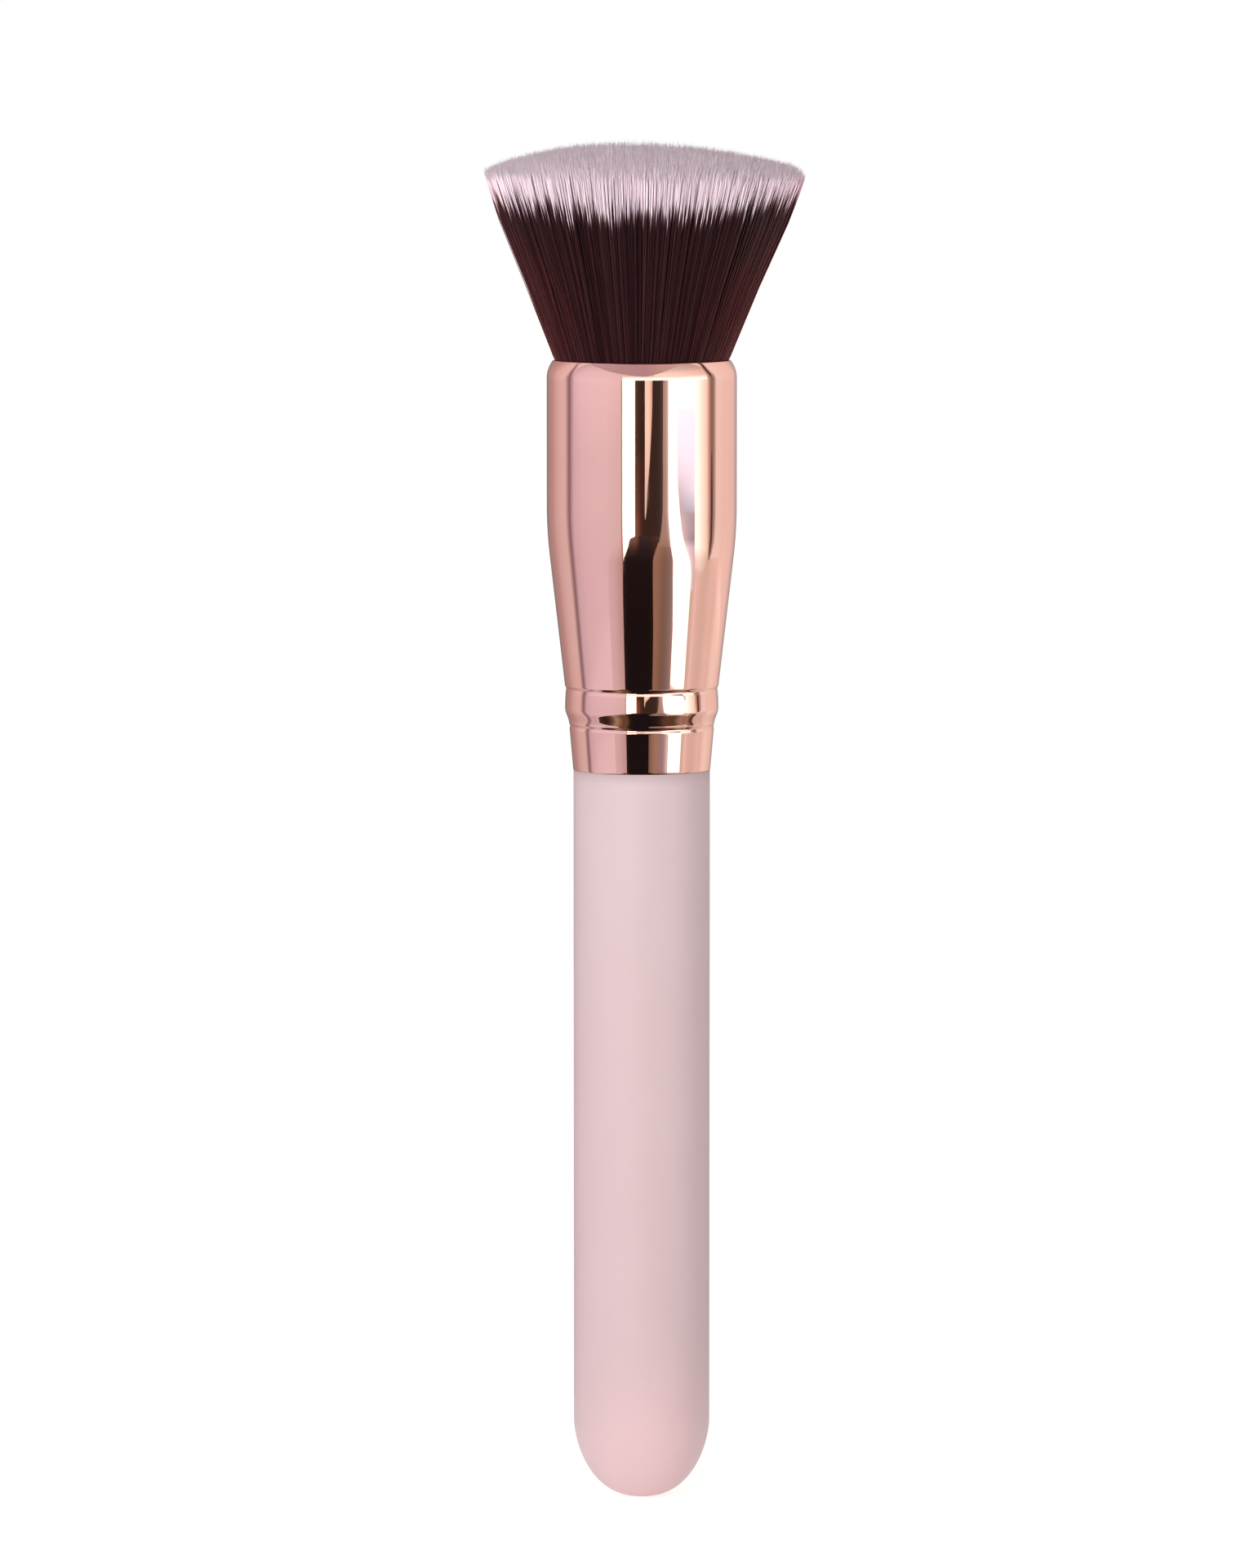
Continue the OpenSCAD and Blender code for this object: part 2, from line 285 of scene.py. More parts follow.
def waxed_thread(tree):
    """Twisted and waxed polyester thread: off-white, with the slant of its plies showing."""
    place = node(tree, "ShaderNodeTexCoord").outputs["Object"]
    plies = grain(tree, place, (0.3, 0.3, 0.12), 1.0)
    bump = node(tree, "ShaderNodeBump", {"Height": plies, "Distance": 0.05 * MM, "Strength": 0.6})
    tint = node(tree, "ShaderNodeMix", between(plies, "#EFEAE0", "#CFC6B6"), data_type="RGBA")
    return node(tree, "ShaderNodeBsdfPrincipled", {
        "Base Color": tint.outputs[COLOUR_OUT],
        "Roughness": 0.55,
        "Normal": bump.outputs[0],
    })


def add_mesh(name, points, triangles, material):
    """Smooth mesh object from points in mm and rows of three point numbers."""
    mesh = bpy.data.meshes.new(name)
    mesh.vertices.add(len(points))
    mesh.vertices.foreach_set("co", (np.asarray(points) * MM).ravel())
    mesh.loops.add(triangles.size)
    mesh.loops.foreach_set("vertex_index", triangles.astype(np.int32).ravel())
    mesh.polygons.add(len(triangles))
    mesh.polygons.foreach_set("loop_start", np.arange(0, triangles.size, 3, dtype=np.int32))
    mesh.update(calc_edges=True)
    mesh.polygons.foreach_set("use_smooth", np.ones(len(triangles), dtype=bool))
    mesh.materials.append(material)
    made = bpy.data.objects.new(name, mesh)
    bpy.context.collection.objects.link(made)
    return made


def split_quads(a, b, c, d):
    """Two triangles for each quad whose corners are given in turn."""
    return np.concatenate([np.stack([a, b, c], -1).reshape(-1, 3), np.stack([a, c, d], -1).reshape(-1, 3)])


def dress(piece, slot, *nodes):
    """A piece rides on the brush and stands for nodes of the frame, which are hidden. The slot is not used.
    """
    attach(piece, ROOT_BODY)
    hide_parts(*nodes)


def lathe(name, outline, material):
    """Body of revolution, from an outline that goes up the outside and back down the inside.

    The outline may start and end on the axis.
    """
    rings = np.asarray(outline)
    ends_on_axis = rings[0, 0] < TINY and rings[-1, 0] < TINY
    poles = rings[[0, -1]] if ends_on_axis else np.zeros((0, 2))
    if ends_on_axis:
        rings = rings[1:-1]
    turn = 2 * math.pi * np.arange(LATHE_SIDES) / LATHE_SIDES
    r, z = rings[:, :1], rings[:, 1:]
    points = np.stack([r * np.cos(turn), r * np.sin(turn), z + 0 * turn], -1).reshape(-1, 3)
    points = np.concatenate([points, np.stack([0 * poles[:, 0], 0 * poles[:, 0], poles[:, 1]], -1)])
    bands = len(rings) - 1 if ends_on_axis else len(rings)
    row = np.arange(bands)[:, None] * LATHE_SIDES
    above = np.roll(np.arange(len(rings)), -1)[:bands, None] * LATHE_SIDES
    side = np.arange(LATHE_SIDES)
    after = np.roll(side, -1)
    triangles = split_quads(row + side, row + after, above + after, above + side)
    if ends_on_axis:
        last = (len(rings) - 1) * LATHE_SIDES
        low, high = len(rings) * LATHE_SIDES + np.array([0, 1])
        low_fan = np.stack([0 * side + low, after, side], -1)
        high_fan = np.stack([last + side, last + after, 0 * side + high], -1)
        triangles = np.concatenate([triangles, low_fan, high_fan])
    return add_mesh(name, points, triangles, material)


def butt_curve(r, length, foot):
    """Rounded butt from the axis out to the grip."""
    a = np.radians(np.linspace(0, 90, BUTT_POINTS))
    across = r * np.sin(a) ** (2 / BUTT_BLUNT)
    up = foot + length * (1 - np.cos(a) ** (2 / BUTT_SWEEP))
    return np.stack([across, up], -1)


def roll_groove(z, r_below, r_above):
    """Rolled groove, sunk from the radius below it to the radius above it."""
    s = np.linspace(0, 1, ROLL_POINTS)
    r = r_below + (r_above - r_below) * s - ROLL_DEPTH * np.sin(math.pi * s)
    return np.stack([r, z + ROLL_W * (s - 0.5)], -1)


def ferrule_outside():
    """Outside of the ferrule, from its foot to its mouth."""
    foot_r = GRIP_R + TAIL_STEP
    tail_r = foot_r + TAIL_FLARE
    bead_foot_r = tail_r + BEAD_STEP
    bead_r = bead_foot_r + BEAD_RISE
    taper_r = bead_r + TAPER_STEP
    lower_roll = FOOT_Z + TAIL_LEN
    upper_roll = lower_roll + BEAD_LEN
    body = upper_roll + TAPER_LEN
    s = np.linspace(0, 1, CURVE_POINTS)
    low, high = lower_roll + ROLL_W / 2, lower_roll + BEAD_LEN * BEAD_FOOT_SHARE
    bead_foot = np.stack([bead_foot_r + BEAD_RISE * s * s * (3 - 2 * s), low + (high - low) * s], -1)
    bead_top = np.stack([bead_r - BEAD_CURL * s * s, high + (upper_roll - ROLL_W / 2 - high) * s], -1)
    taper_foot, blend = upper_roll + ROLL_W / 2, TAPER_LEN * BLEND_SHARE
    lean = (FERRULE_R - taper_r) / (body - taper_foot)
    curve = np.outer((1 - s) ** 2, [FERRULE_R - lean * blend, body - blend])
    curve += np.outer(2 * s * (1 - s), [FERRULE_R, body]) + np.outer(s ** 2, [FERRULE_R, body + blend])
    arc_r = (SHOULDER_LEN ** 2 + SHOULDER_IN ** 2) / (2 * SHOULDER_IN)
    a = math.asin(SHOULDER_LEN / arc_r) * s
    shoulder = np.stack([FERRULE_R - arc_r * (1 - np.cos(a)), MOUTH_Z - SHOULDER_LEN + arc_r * np.sin(a)], -1)
    return np.concatenate([
        [[foot_r, FOOT_Z]],
        roll_groove(lower_roll, tail_r, bead_foot_r),
        bead_foot[1:],
        bead_top[1:-1],
        roll_groove(upper_roll, bead_r - BEAD_CURL, taper_r),
        curve,
        shoulder,
    ])


def inset(path, depth):
    """Path moved to its left by a depth, each corner along the mean of its two sides."""
    along = np.diff(path, axis=0)
    left = np.stack([-along[:, 1], along[:, 0]], -1) / np.linalg.norm(along, axis=1)[:, None]
    mean = np.concatenate([left[:1], left]) + np.concatenate([left, left[-1:]])
    return path + depth * 2 * mean / (mean ** 2).sum(1)[:, None]


def evenly(path, step):
    """Points a step apart along a path."""
    gone = np.concatenate([[0], np.cumsum(np.linalg.norm(np.diff(path, axis=0), axis=1))])
    at = np.linspace(0, gone[-1], int(gone[-1] / step) + 1)
    return np.stack([np.interp(at, gone, path[:, i]) for i in (0, 1)], -1)


def rounded(loop, radius):
    """Closed outline with its corners eased over a radius, as even points."""
    step = radius / ROUND_POINTS
    points = evenly(np.concatenate([loop, loop[:1]]), step)[:-1]
    reach = np.arange(-ROUND_REACH, ROUND_REACH + 1)
    weights = np.exp(-0.5 * (reach * step / radius) ** 2)
    weights /= weights.sum()
    return sum(w * np.roll(points, -k, axis=0) for k, w in zip(reach, weights))


def thinned(path):
    """The points of a fine path that its turns and its length need."""
    kept = [0]
    along = np.diff(path, axis=0)
    heading = np.unwrap(np.arctan2(along[:, 1], along[:, 0]))
    gone = np.cumsum(np.linalg.norm(along, axis=1))
    for i in range(1, len(along)):
        turn = math.degrees(abs(heading[i] - heading[kept[-1]]))
        length = gone[i] - gone[kept[-1]]
        if turn > STEP_TURN or length > STEP_LEN or turn * length > STEP_BOTH:
            kept.append(i)
    return path[kept]


def make_handle():
    """Lacquer coat over the grip and the butt."""
    outside = butt_curve(GRIP_R, BUTT_LEN, 0)
    inside = butt_curve(GRIP_R - LACQUER_T, BUTT_LEN - LACQUER_T, LACQUER_T)
    side = np.linspace(BUTT_LEN, FOOT_Z, GRIP_POINTS)[1:]
    up = np.stack([GRIP_R + 0 * side, side], -1)
    down = np.stack([GRIP_R - LACQUER_T + 0 * side, side], -1)[::-1]
    outline = np.concatenate([outside, up, down, inside[::-1]])
    coat = lathe("satin_pink_coat", outline, finish("satin_lacquer", satin_lacquer))
    dress(coat, "satin_lacquer", "handle_lacquer")


def make_ferrule():
    """Drawn and spun metal tube."""
    outside = ferrule_outside()
    loop = np.concatenate([outside, inset(outside, WALL)[::-1]])
    outline = thinned(rounded(loop, METAL_ROUND))
    tube = lathe("rose_gold_tube", outline, finish("rose_gold", rose_gold_aluminium))
    dress(tube, "rose_gold_ferrule", "ferrule")


def make_cord():
    """Binding cord, wound round the roots in close turns."""
    turn_r = FERRULE_R - WALL - BOND_GAP - CORD_D / 2
    count = int((CORD_TURNS - CORD_SHORT) * CORD_STEPS)
    turn = 2 * math.pi * np.arange(count) / CORD_STEPS
    up = CORD_Z + CORD_D / 2 + CORD_D * turn / (2 * math.pi)
    middle = np.stack([turn_r * np.cos(turn), turn_r * np.sin(turn), up], -1)
    out = np.stack([np.cos(turn), np.sin(turn), 0 * turn], -1)
    a = 2 * math.pi * np.arange(CORD_SIDES) / CORD_SIDES
    across = np.cos(a)[:, None] * out[:, None] + np.sin(a)[:, None] * np.array([0, 0, 1])
    points = middle[:, None] + (CORD_D / 2 - BOND_GAP) * across
    row = np.arange(count - 1)[:, None] * CORD_SIDES
    above = row + CORD_SIDES
    side = np.arange(CORD_SIDES)
    after = np.roll(side, -1)
    wall = split_quads(row + side, above + side, above + after, row + after)
    first = np.stack([0 * side[1:-1], side[1:-1], side[2:]], -1)
    last = first[:, [0, 2, 1]] + (count - 1) * CORD_SIDES
    triangles = np.concatenate([wall, first, last])
    cord = add_mesh("wound_cord", points.reshape(-1, 3), triangles, finish("waxed_thread", waxed_thread))
    dress(cord, "cord", "binding_cord")


# Filaments: how many, in how many locks and pieces, and the seed of what is uneven in them
FILAMENTS, LOCKS, TUFT_PARTS = 30000, 5000, 6
SEED = 7
GOLDEN_TURN = math.radians(137.508)
# Power of the radius at which the locks stand: under a half, they stand closer near the outside
LOCK_POWER = 0.4
# How far a tip leans to the middle of its lock, and how far apart the roots of a lock stand
LOCK_PULL, LOCK_SPREAD = 0.15, 2.4
# How far a lock and a filament sway to a side, and the share of it that is left at the tip
LOCK_SWAY, FILAMENT_SWAY, TIP_SWAY = 0.02, 0.06, 0.5
# How unevenly the locks and the filaments end, and how far they end under the dome
LOCK_UNEVEN, FILAMENT_UNEVEN, TIPS_UNDER = 0.12, 0.19, 0.22
# Strays: how many, the share of the radius outside which they stand, and how far they bow out
STRAYS, STRAY_FROM = 40, 0.985
STRAY_BOW = (0.03, 0.16)
# How far the tuft leans to the camera's right at its rim, how much lower its dome is for each mm that way,
# and the share of the radius over which its rim gets sharper to the left
TUFT_LEAN, CROWN_SLOPE, SHARP_LEFT = 0.35, 0.032, 0.8
# How deep the roots stand in their slice, as a share of it, and how far under the mouth the tuft is straight
ROOT_SHARE, NECK_UNDER = 0.7, 0.6
# Stations over the mouth, as shares of the height up to the tip, and how far the flare leaves a straight line
FREE_STATIONS = (0.02, 0.4, 0.75, 0.94)
FLARE_CURVE = 0.02
# Radii of a filament at its stations, from the root to just under its tip, and how much they differ
STATION_R = (0.042, 0.042, 0.043, 0.05, 0.052, 0.046)
SIZE_SPREAD = 0.15
FILAMENT_SIDES = 3
# Length of a pale tip at the tuft's sides, what the front and back add, what the camera's right takes off,
# and what the middle adds, where the eye sees deeper down between the tips
PALE_LEN, PALE_FRONT, PALE_RIGHT, PALE_MIDDLE = 2.85, 1.6, 0.3, 3
# How much it differs between locks and between filaments, how much longer some are, and the most that adds
PALE_LOCK, PALE_FILAMENT, PALE_LONGER, PALE_MOST = 0.1, 0.8, 0.45, 2.4
PALE_LEAST_STEPS = 2
# Power that makes the first tones the commoner ones
TONE_POWER = 1.6


def around(turn):
    """Steps of one away from the axis, at angles round it."""
    return np.stack([np.cos(turn), np.sin(turn)], -1)


def within_rim(at):
    """Places as shares of the radius, with those past the rim brought back to it."""
    return at / np.maximum(np.linalg.norm(at, axis=1), 1)[:, None]


def raised(flat, z):
    """Places across the brush, at one height or at a height each."""
    return np.concatenate([flat, (z + 0 * flat[:, 0])[:, None]], 1)


def crown_z(u):
    """Height of the tuft's top at a share of its radius."""
    return RIM_Z + (CROWN_RISE - EDGE_DROP) * (1 - u ** 2) + EDGE_DROP * (1 - u ** EDGE_POWER)


def plant_filaments(rng, lock):
    """Where the roots and the tips stand, as shares of the radius, and how far each filament sways in mm."""
    lock_at = (((lock + 0.5) / LOCKS) ** LOCK_POWER)[:, None] * around(lock * GOLDEN_TURN)
    spread = np.sqrt(rng.random(FILAMENTS)) * LOCK_SPREAD / math.sqrt(LOCKS)
    root_at = within_rim(lock_at + spread[:, None] * around(rng.random(FILAMENTS) * 2 * math.pi))
    sway = rng.normal(0, 1, (LOCKS, 2))[lock] * LOCK_SWAY + rng.normal(0, 1, (FILAMENTS, 2)) * FILAMENT_SWAY
    tip_at = within_rim(root_at + (lock_at - root_at) * LOCK_PULL + sway * TIP_SWAY / TUFT_R)
    return root_at, tip_at, sway


def tip_heights(rng, lock, tip_at):
    """Heights of the tips: an uneven dome, a little lower at the camera's right and sharper at its left."""
    u = np.linalg.norm(tip_at, axis=1)
    dome = crown_z(u) - CROWN_SLOPE * TUFT_R * tip_at[:, 0] * (1 - u ** 2)
    dome += EDGE_DROP * np.clip(-tip_at[:, 0], 0, SHARP_LEFT) * u ** EDGE_POWER
    dome += rng.normal(0, LOCK_UNEVEN, LOCKS)[lock] + rng.normal(0, FILAMENT_UNEVEN, FILAMENTS)
    return dome - TIPS_UNDER


def filament_lines(rng, root_at, tip_at, tip_z, sway):
    """Middle line of each filament, from its root in the slice to its tip."""
    reach = np.linalg.norm(root_at, axis=1)
    out = root_at / np.maximum(reach, TINY)[:, None]
    strays = rng.choice(np.flatnonzero(reach > STRAY_FROM), STRAYS, replace=False)
    bow = np.zeros(FILAMENTS)
    bow[strays] = rng.uniform(*STRAY_BOW, STRAYS)
    root = raised(root_at * NECK_R, SLICE_Z + SLICE_T * ROOT_SHARE)
    stations = [root, raised(root_at * NECK_R, MOUTH_Z - NECK_UNDER)]
    for h in FREE_STATIONS + (1.0,):
        r = LIP_OVER_R + (TUFT_R - LIP_OVER_R) * (h - FLARE_CURVE * math.sin(2 * math.pi * h))
        bend = math.sin(math.pi * h)
        flat = (root_at + (tip_at - root_at) * h ** 2) * r + sway * bend + out * (bow * bend)[:, None]
        flat[:, 0] += TUFT_LEAN * h
        stations.append(raised(flat, MOUTH_Z + (tip_z - MOUTH_Z) * h))
    return np.stack(stations, 1)


def filament_walls(rng, line):
    """Corners of each filament, ring by ring from its root, and its tip."""
    roll = rng.random(FILAMENTS) * 2 * math.pi
    size = rng.uniform(1 - SIZE_SPREAD, 1 + SIZE_SPREAD, FILAMENTS)
    a = roll[:, None] + 2 * math.pi * np.arange(FILAMENT_SIDES) / FILAMENT_SIDES
    corner = np.stack([np.cos(a), np.sin(a), 0 * a], -1)
    r = np.array(STATION_R) * size[:, None]
    rings = line[:, :-1, None] + r[:, :, None, None] * corner[:, None]
    return np.concatenate([rings.reshape(FILAMENTS, -1, 3), line[:, -1:]], 1)


def map_columns(rng, lock, root_at, tip_at):
    """Column of the map for each filament: how long its pale tip is, and the tone of its dye."""
    out = root_at / np.maximum(np.linalg.norm(root_at, axis=1), TINY)[:, None]
    middle = 1 - np.linalg.norm(tip_at, axis=1) ** 2
    pale = PALE_LEN + PALE_FRONT * out[:, 1] ** 2 - PALE_RIGHT * out[:, 0] + PALE_MIDDLE * middle
    pale += rng.normal(0, PALE_LOCK, LOCKS)[lock]
    longer = rng.normal(0, PALE_FILAMENT, FILAMENTS) + rng.exponential(PALE_LONGER, FILAMENTS)
    pale += np.minimum(longer, PALE_MOST)
    level = np.clip(pale / TIP_STEP_LEN, PALE_LEAST_STEPS, TIP_STEPS - 1).astype(int)
    tone = np.floor(TONES * rng.random(FILAMENTS) ** TONE_POWER).astype(int)
    return (level + (tone + 0.5) / TONES) / TIP_STEPS


def make_tuft():
    """Tuft of two-tone filaments, in locks that fan out over the lip and end in a low dome."""
    rng = np.random.default_rng(SEED)
    lock = np.arange(FILAMENTS) % LOCKS
    root_at, tip_at, sway = plant_filaments(rng, lock)
    tip_z = tip_heights(rng, lock, tip_at)
    line = filament_lines(rng, root_at, tip_at, tip_z, sway)
    points = filament_walls(rng, line)
    column = map_columns(rng, lock, root_at, tip_at)

    lengths = np.linalg.norm(np.diff(line, axis=1), axis=2)
    from_tip = np.concatenate([np.cumsum(lengths[:, ::-1], 1)[:, ::-1], np.zeros((FILAMENTS, 1))], 1)
    triangles, ring_of, side_of = filament_faces(len(STATION_R), FILAMENT_SIDES)
    # A filament takes up half the width of its column
    width = 0.5 / (TIP_STEPS * TONES * FILAMENT_SIDES)
    u_map = column[:, None, None] + (side_of[None] - FILAMENT_SIDES / 2) * width
    v_map = np.take(from_tip, ring_of, axis=1) / MAP_LEN
    # The root's one face would have no area in the map, so a corner of it is moved
    v_map[:, 0, 2] += width

    turn = np.arctan2(root_at[:, 1], root_at[:, 0]) / (2 * math.pi)
    sector = np.floor((turn % 1) * TUFT_PARTS).astype(int)
    material = finish("dyed_filament", dyed_filament)
    for part in range(TUFT_PARTS):
        mine = np.flatnonzero(sector == part)
        faces = (np.arange(len(mine)) * points.shape[1])[:, None, None] + triangles[None]
        corners = points[mine].reshape(-1, 3)
        piece = add_mesh("filaments_%d" % (part + 1), corners, faces.reshape(-1, 3), material)
        layer = piece.data.uv_layers.new(name=MAP_NAME)
        uv = np.stack([u_map[mine], v_map[mine]], -1)
        layer.data.foreach_set("uv", uv.astype(np.float32).ravel())
        dress(piece, "filaments", "bristles")


def filament_faces(rings, sides):
    """Triangles of one filament, with the ring and the map column step of each corner."""
    faces, ring_of, side_of = [], [], []
    faces.append([2, 1, 0])
    ring_of.append([0, 0, 0])
    side_of.append([2, 1, 0])
    for ring in range(rings - 1):
        for k in range(sides):
            a, b = ring * sides + k, ring * sides + (k + 1) % sides
            faces += [[a, b, b + sides], [a, b + sides, a + sides]]
            ring_of += [[ring, ring, ring + 1], [ring, ring + 1, ring + 1]]
            side_of += [[k, k + 1, k + 1], [k, k + 1, k]]
    tip = rings * sides
    for k in range(sides):
        a, b = (rings - 1) * sides + k, (rings - 1) * sides + (k + 1) % sides
        faces.append([a, b, tip])
        ring_of.append([rings - 1, rings - 1, rings])
        side_of.append([k, k + 1, k + 0.5])
    return np.array(faces), np.array(ring_of), np.array(side_of)


def make_tuft_root():
    """Slice of epoxy that the filaments are set in."""
    r = FERRULE_R - WALL - BOND_GAP
    low, high = SLICE_Z, SLICE_Z + SLICE_T
    outline = np.array([
        (0, low), (r - SLICE_EDGE, low), (r, low + SLICE_EDGE),
        (r, high - SLICE_EDGE), (r - SLICE_EDGE, high), (0, high),
    ])
    dress(lathe("tuft_root", outline, finish("root_epoxy", amber_epoxy)), "epoxy", "bristles")


def dress_inner_nodes():
    """Materials of the pieces inside, which keep the frame's own shapes."""
    finishes = {"handle_core": turned_birch, "tenon_adhesive": wood_glue, "epoxy_plug": amber_epoxy}
    for name, make in finishes.items():
        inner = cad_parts[name]
        inner.data.materials.clear()
        inner.data.materials.append(finish(name + "_finish", make))


def add_camera():
    """Camera at the photograph's viewing angle: a little over the brush, looking down on its middle."""
    side = (PHOTO_W / 2 - AXIS_COLUMN) / PX_PER_MM
    place = Vector((side, -CAMERA_AWAY, CAMERA_HEIGHT))
    aim = Vector((side, 0, AIM_HEIGHT)) - place
    data = bpy.data.cameras.new("camera")
    data.sensor_width = SENSOR_W
    data.lens = SENSOR_W * aim.length / (PHOTO_H / PX_PER_MM)
    camera = bpy.data.objects.new("camera", data)
    camera.location = place * MM
    camera.rotation_euler = aim.to_track_quat("-Z", "Y").to_euler()
    bpy.context.collection.objects.link(camera)
    bpy.context.scene.camera = camera


def shown_white(tree):
    """1 where a camera, a mirror or a glass looks straight at the surface, else 0."""
    path = node(tree, "ShaderNodeLightPath")
    mirror = node(tree, "ShaderNodeMath", {
        0: path.outputs["Is Camera Ray"], 1: path.outputs["Is Glossy Ray"],
    }, operation="MAXIMUM")
    return node(tree, "ShaderNodeMath", {
        0: mirror.outputs[0], 1: path.outputs["Is Transmission Ray"],
    }, operation="MAXIMUM").outputs[0]


# Strength of the light from all round, and of the floor's glow as light and as seen
AMBIENT = 0.42
FLOOR_GLOW, FLOOR_LIFT = 0.15, 0.68


def add_world():
    """White to look at, and a plain soft light all round."""
    world = bpy.data.worlds.new("studio_air")
    world.use_nodes = True
    tree = world.node_tree
    tree.nodes.clear()
    glow = node(tree, "ShaderNodeMix", {0: shown_white(tree), NUMBER_A: AMBIENT, NUMBER_B: 1.0}).outputs[0]
    air = node(tree, "ShaderNodeBackground", {"Color": colour("#FFFFFF"), "Strength": glow})
    node(tree, "ShaderNodeOutputWorld", {"Surface": air.outputs[0]})
    bpy.context.scene.world = world


def white_floor(tree):
    """Matt white paper sweep: white where nothing shades it, and a little light on the brush from below."""
    levels = {0: shown_white(tree), NUMBER_A: FLOOR_GLOW, NUMBER_B: FLOOR_LIFT}
    glow = node(tree, "ShaderNodeMix", levels).outputs[0]
    paper = node(tree, "ShaderNodeBsdfDiffuse", {"Color": colour("#F4F4F4")})
    light = node(tree, "ShaderNodeEmission", {"Color": colour("#FFF8F2"), "Strength": glow})
    return node(tree, "ShaderNodeAddShader", {0: paper.outputs[0], 1: light.outputs[0]})


def add_floor():
    """Round floor under the brush."""
    turn = 2 * math.pi * np.arange(LATHE_SIDES) / LATHE_SIDES
    rim = np.stack([FLOOR_R * np.cos(turn), FLOOR_R * np.sin(turn), 0 * turn], -1)
    side = np.arange(LATHE_SIDES)
    triangles = np.stack([0 * side + LATHE_SIDES, side, np.roll(side, -1)], -1)
    points = np.concatenate([rim, [[0, 0, 0]]])
    add_mesh("floor", points, triangles, finish("paper_floor", white_floor))


def card_light(tree):
    """Plain glow of a lit card, from the colours that its mesh carries."""
    tint = node(tree, "ShaderNodeAttribute", attribute_name="glow").outputs["Color"]
    return node(tree, "ShaderNodeEmission", {"Color": tint})


card_material = finish("card_light", card_light)
card_material.cycles.emission_sampling = "NONE"

# Height that the cards stand round, how much nearer each layer stands as a share of the ring, and how far
# over the floor the cards and each layer of them lie
CARD_CENTRE_Z = 120
LAYER_IN = 0.01
OVER_FLOOR, LAYER_UP = 1, 0.5


def add_card(name, layer, rows, tints, levels=((0, 1),), step=0.5, ring=CARD_RING_R, lean=False):
    """Card on a ring round the brush, for the metal to mirror.

    rows are (elevation, left azimuth, right azimuth) from its foot up, tints are (azimuth, colour) from left
    to right, and levels are (elevation, strength) from its foot up, or (elevation, strength at its left,
    strength at its right). A higher layer stands in front. The tints of a card that leans follow its sides up
    from its foot.
    """
    rows, levels = np.array(rows, dtype=float), np.array(levels, dtype=float)
    tall = max(2, int((rows[-1, 0] - rows[0, 0]) / step) + 1)
    wide = max(2, int((rows[:, 2] - rows[:, 1]).max() / step) + 1)
    up = np.linspace(rows[0, 0], rows[-1, 0], tall)
    left, right = (np.interp(up, rows[:, 0], rows[:, i]) for i in (1, 2))
    azimuth = left[:, None] + (right - left)[:, None] * np.linspace(0, 1, wide)
    a, e = np.radians(azimuth), np.radians(up)[:, None] + 0 * azimuth
    heading = np.stack([np.cos(e) * np.sin(a), -np.cos(e) * np.cos(a), np.sin(e)], -1)
    # Where the ring would go under the floor, the card lies on the floor
    to_floor = (CARD_CENTRE_Z - OVER_FLOOR - LAYER_UP * layer) / np.maximum(-heading[..., 2], TINY)
    reach = np.minimum(ring * (1 - LAYER_IN * layer), to_floor)
    points = (heading * reach[..., None] + np.array([0, 0, CARD_CENTRE_Z])).reshape(-1, 3)
    corner = np.arange(tall - 1)[:, None] * wide + np.arange(wide - 1)
    triangles = split_quads(corner, corner + 1, corner + wide + 1, corner + wide)
    card = add_mesh(name, points, triangles, card_material)
    codes = np.array([colour(code) for _, code in tints])
    place = azimuth[:1] + 0 * azimuth if lean else azimuth
    tint = np.stack([np.interp(place, [p for p, _ in tints], codes[:, i]) for i in range(4)], -1)
    at_left, at_right = (np.interp(up, levels[:, 0], levels[:, i])[:, None, None] for i in (1, -1))
    glow = tint * (at_left + (at_right - at_left) * np.linspace(0, 1, wide)[:, None])
    glow_data = card.data.attributes.new("glow", "FLOAT_COLOR", "POINT")
    glow_data.data.foreach_set("color", glow.astype(np.float32).ravel())
    card.visible_camera = card.visible_diffuse = card.visible_transmission = card.visible_shadow = False


# Cards, in degrees. Their places, tints and levels were matched to what the real metal mirrors.
# Elevations: lowest and highest of the walls, and top of the strips
FOOT_EL, TOP_EL, STRIP_EL = -60, 89, 5.5


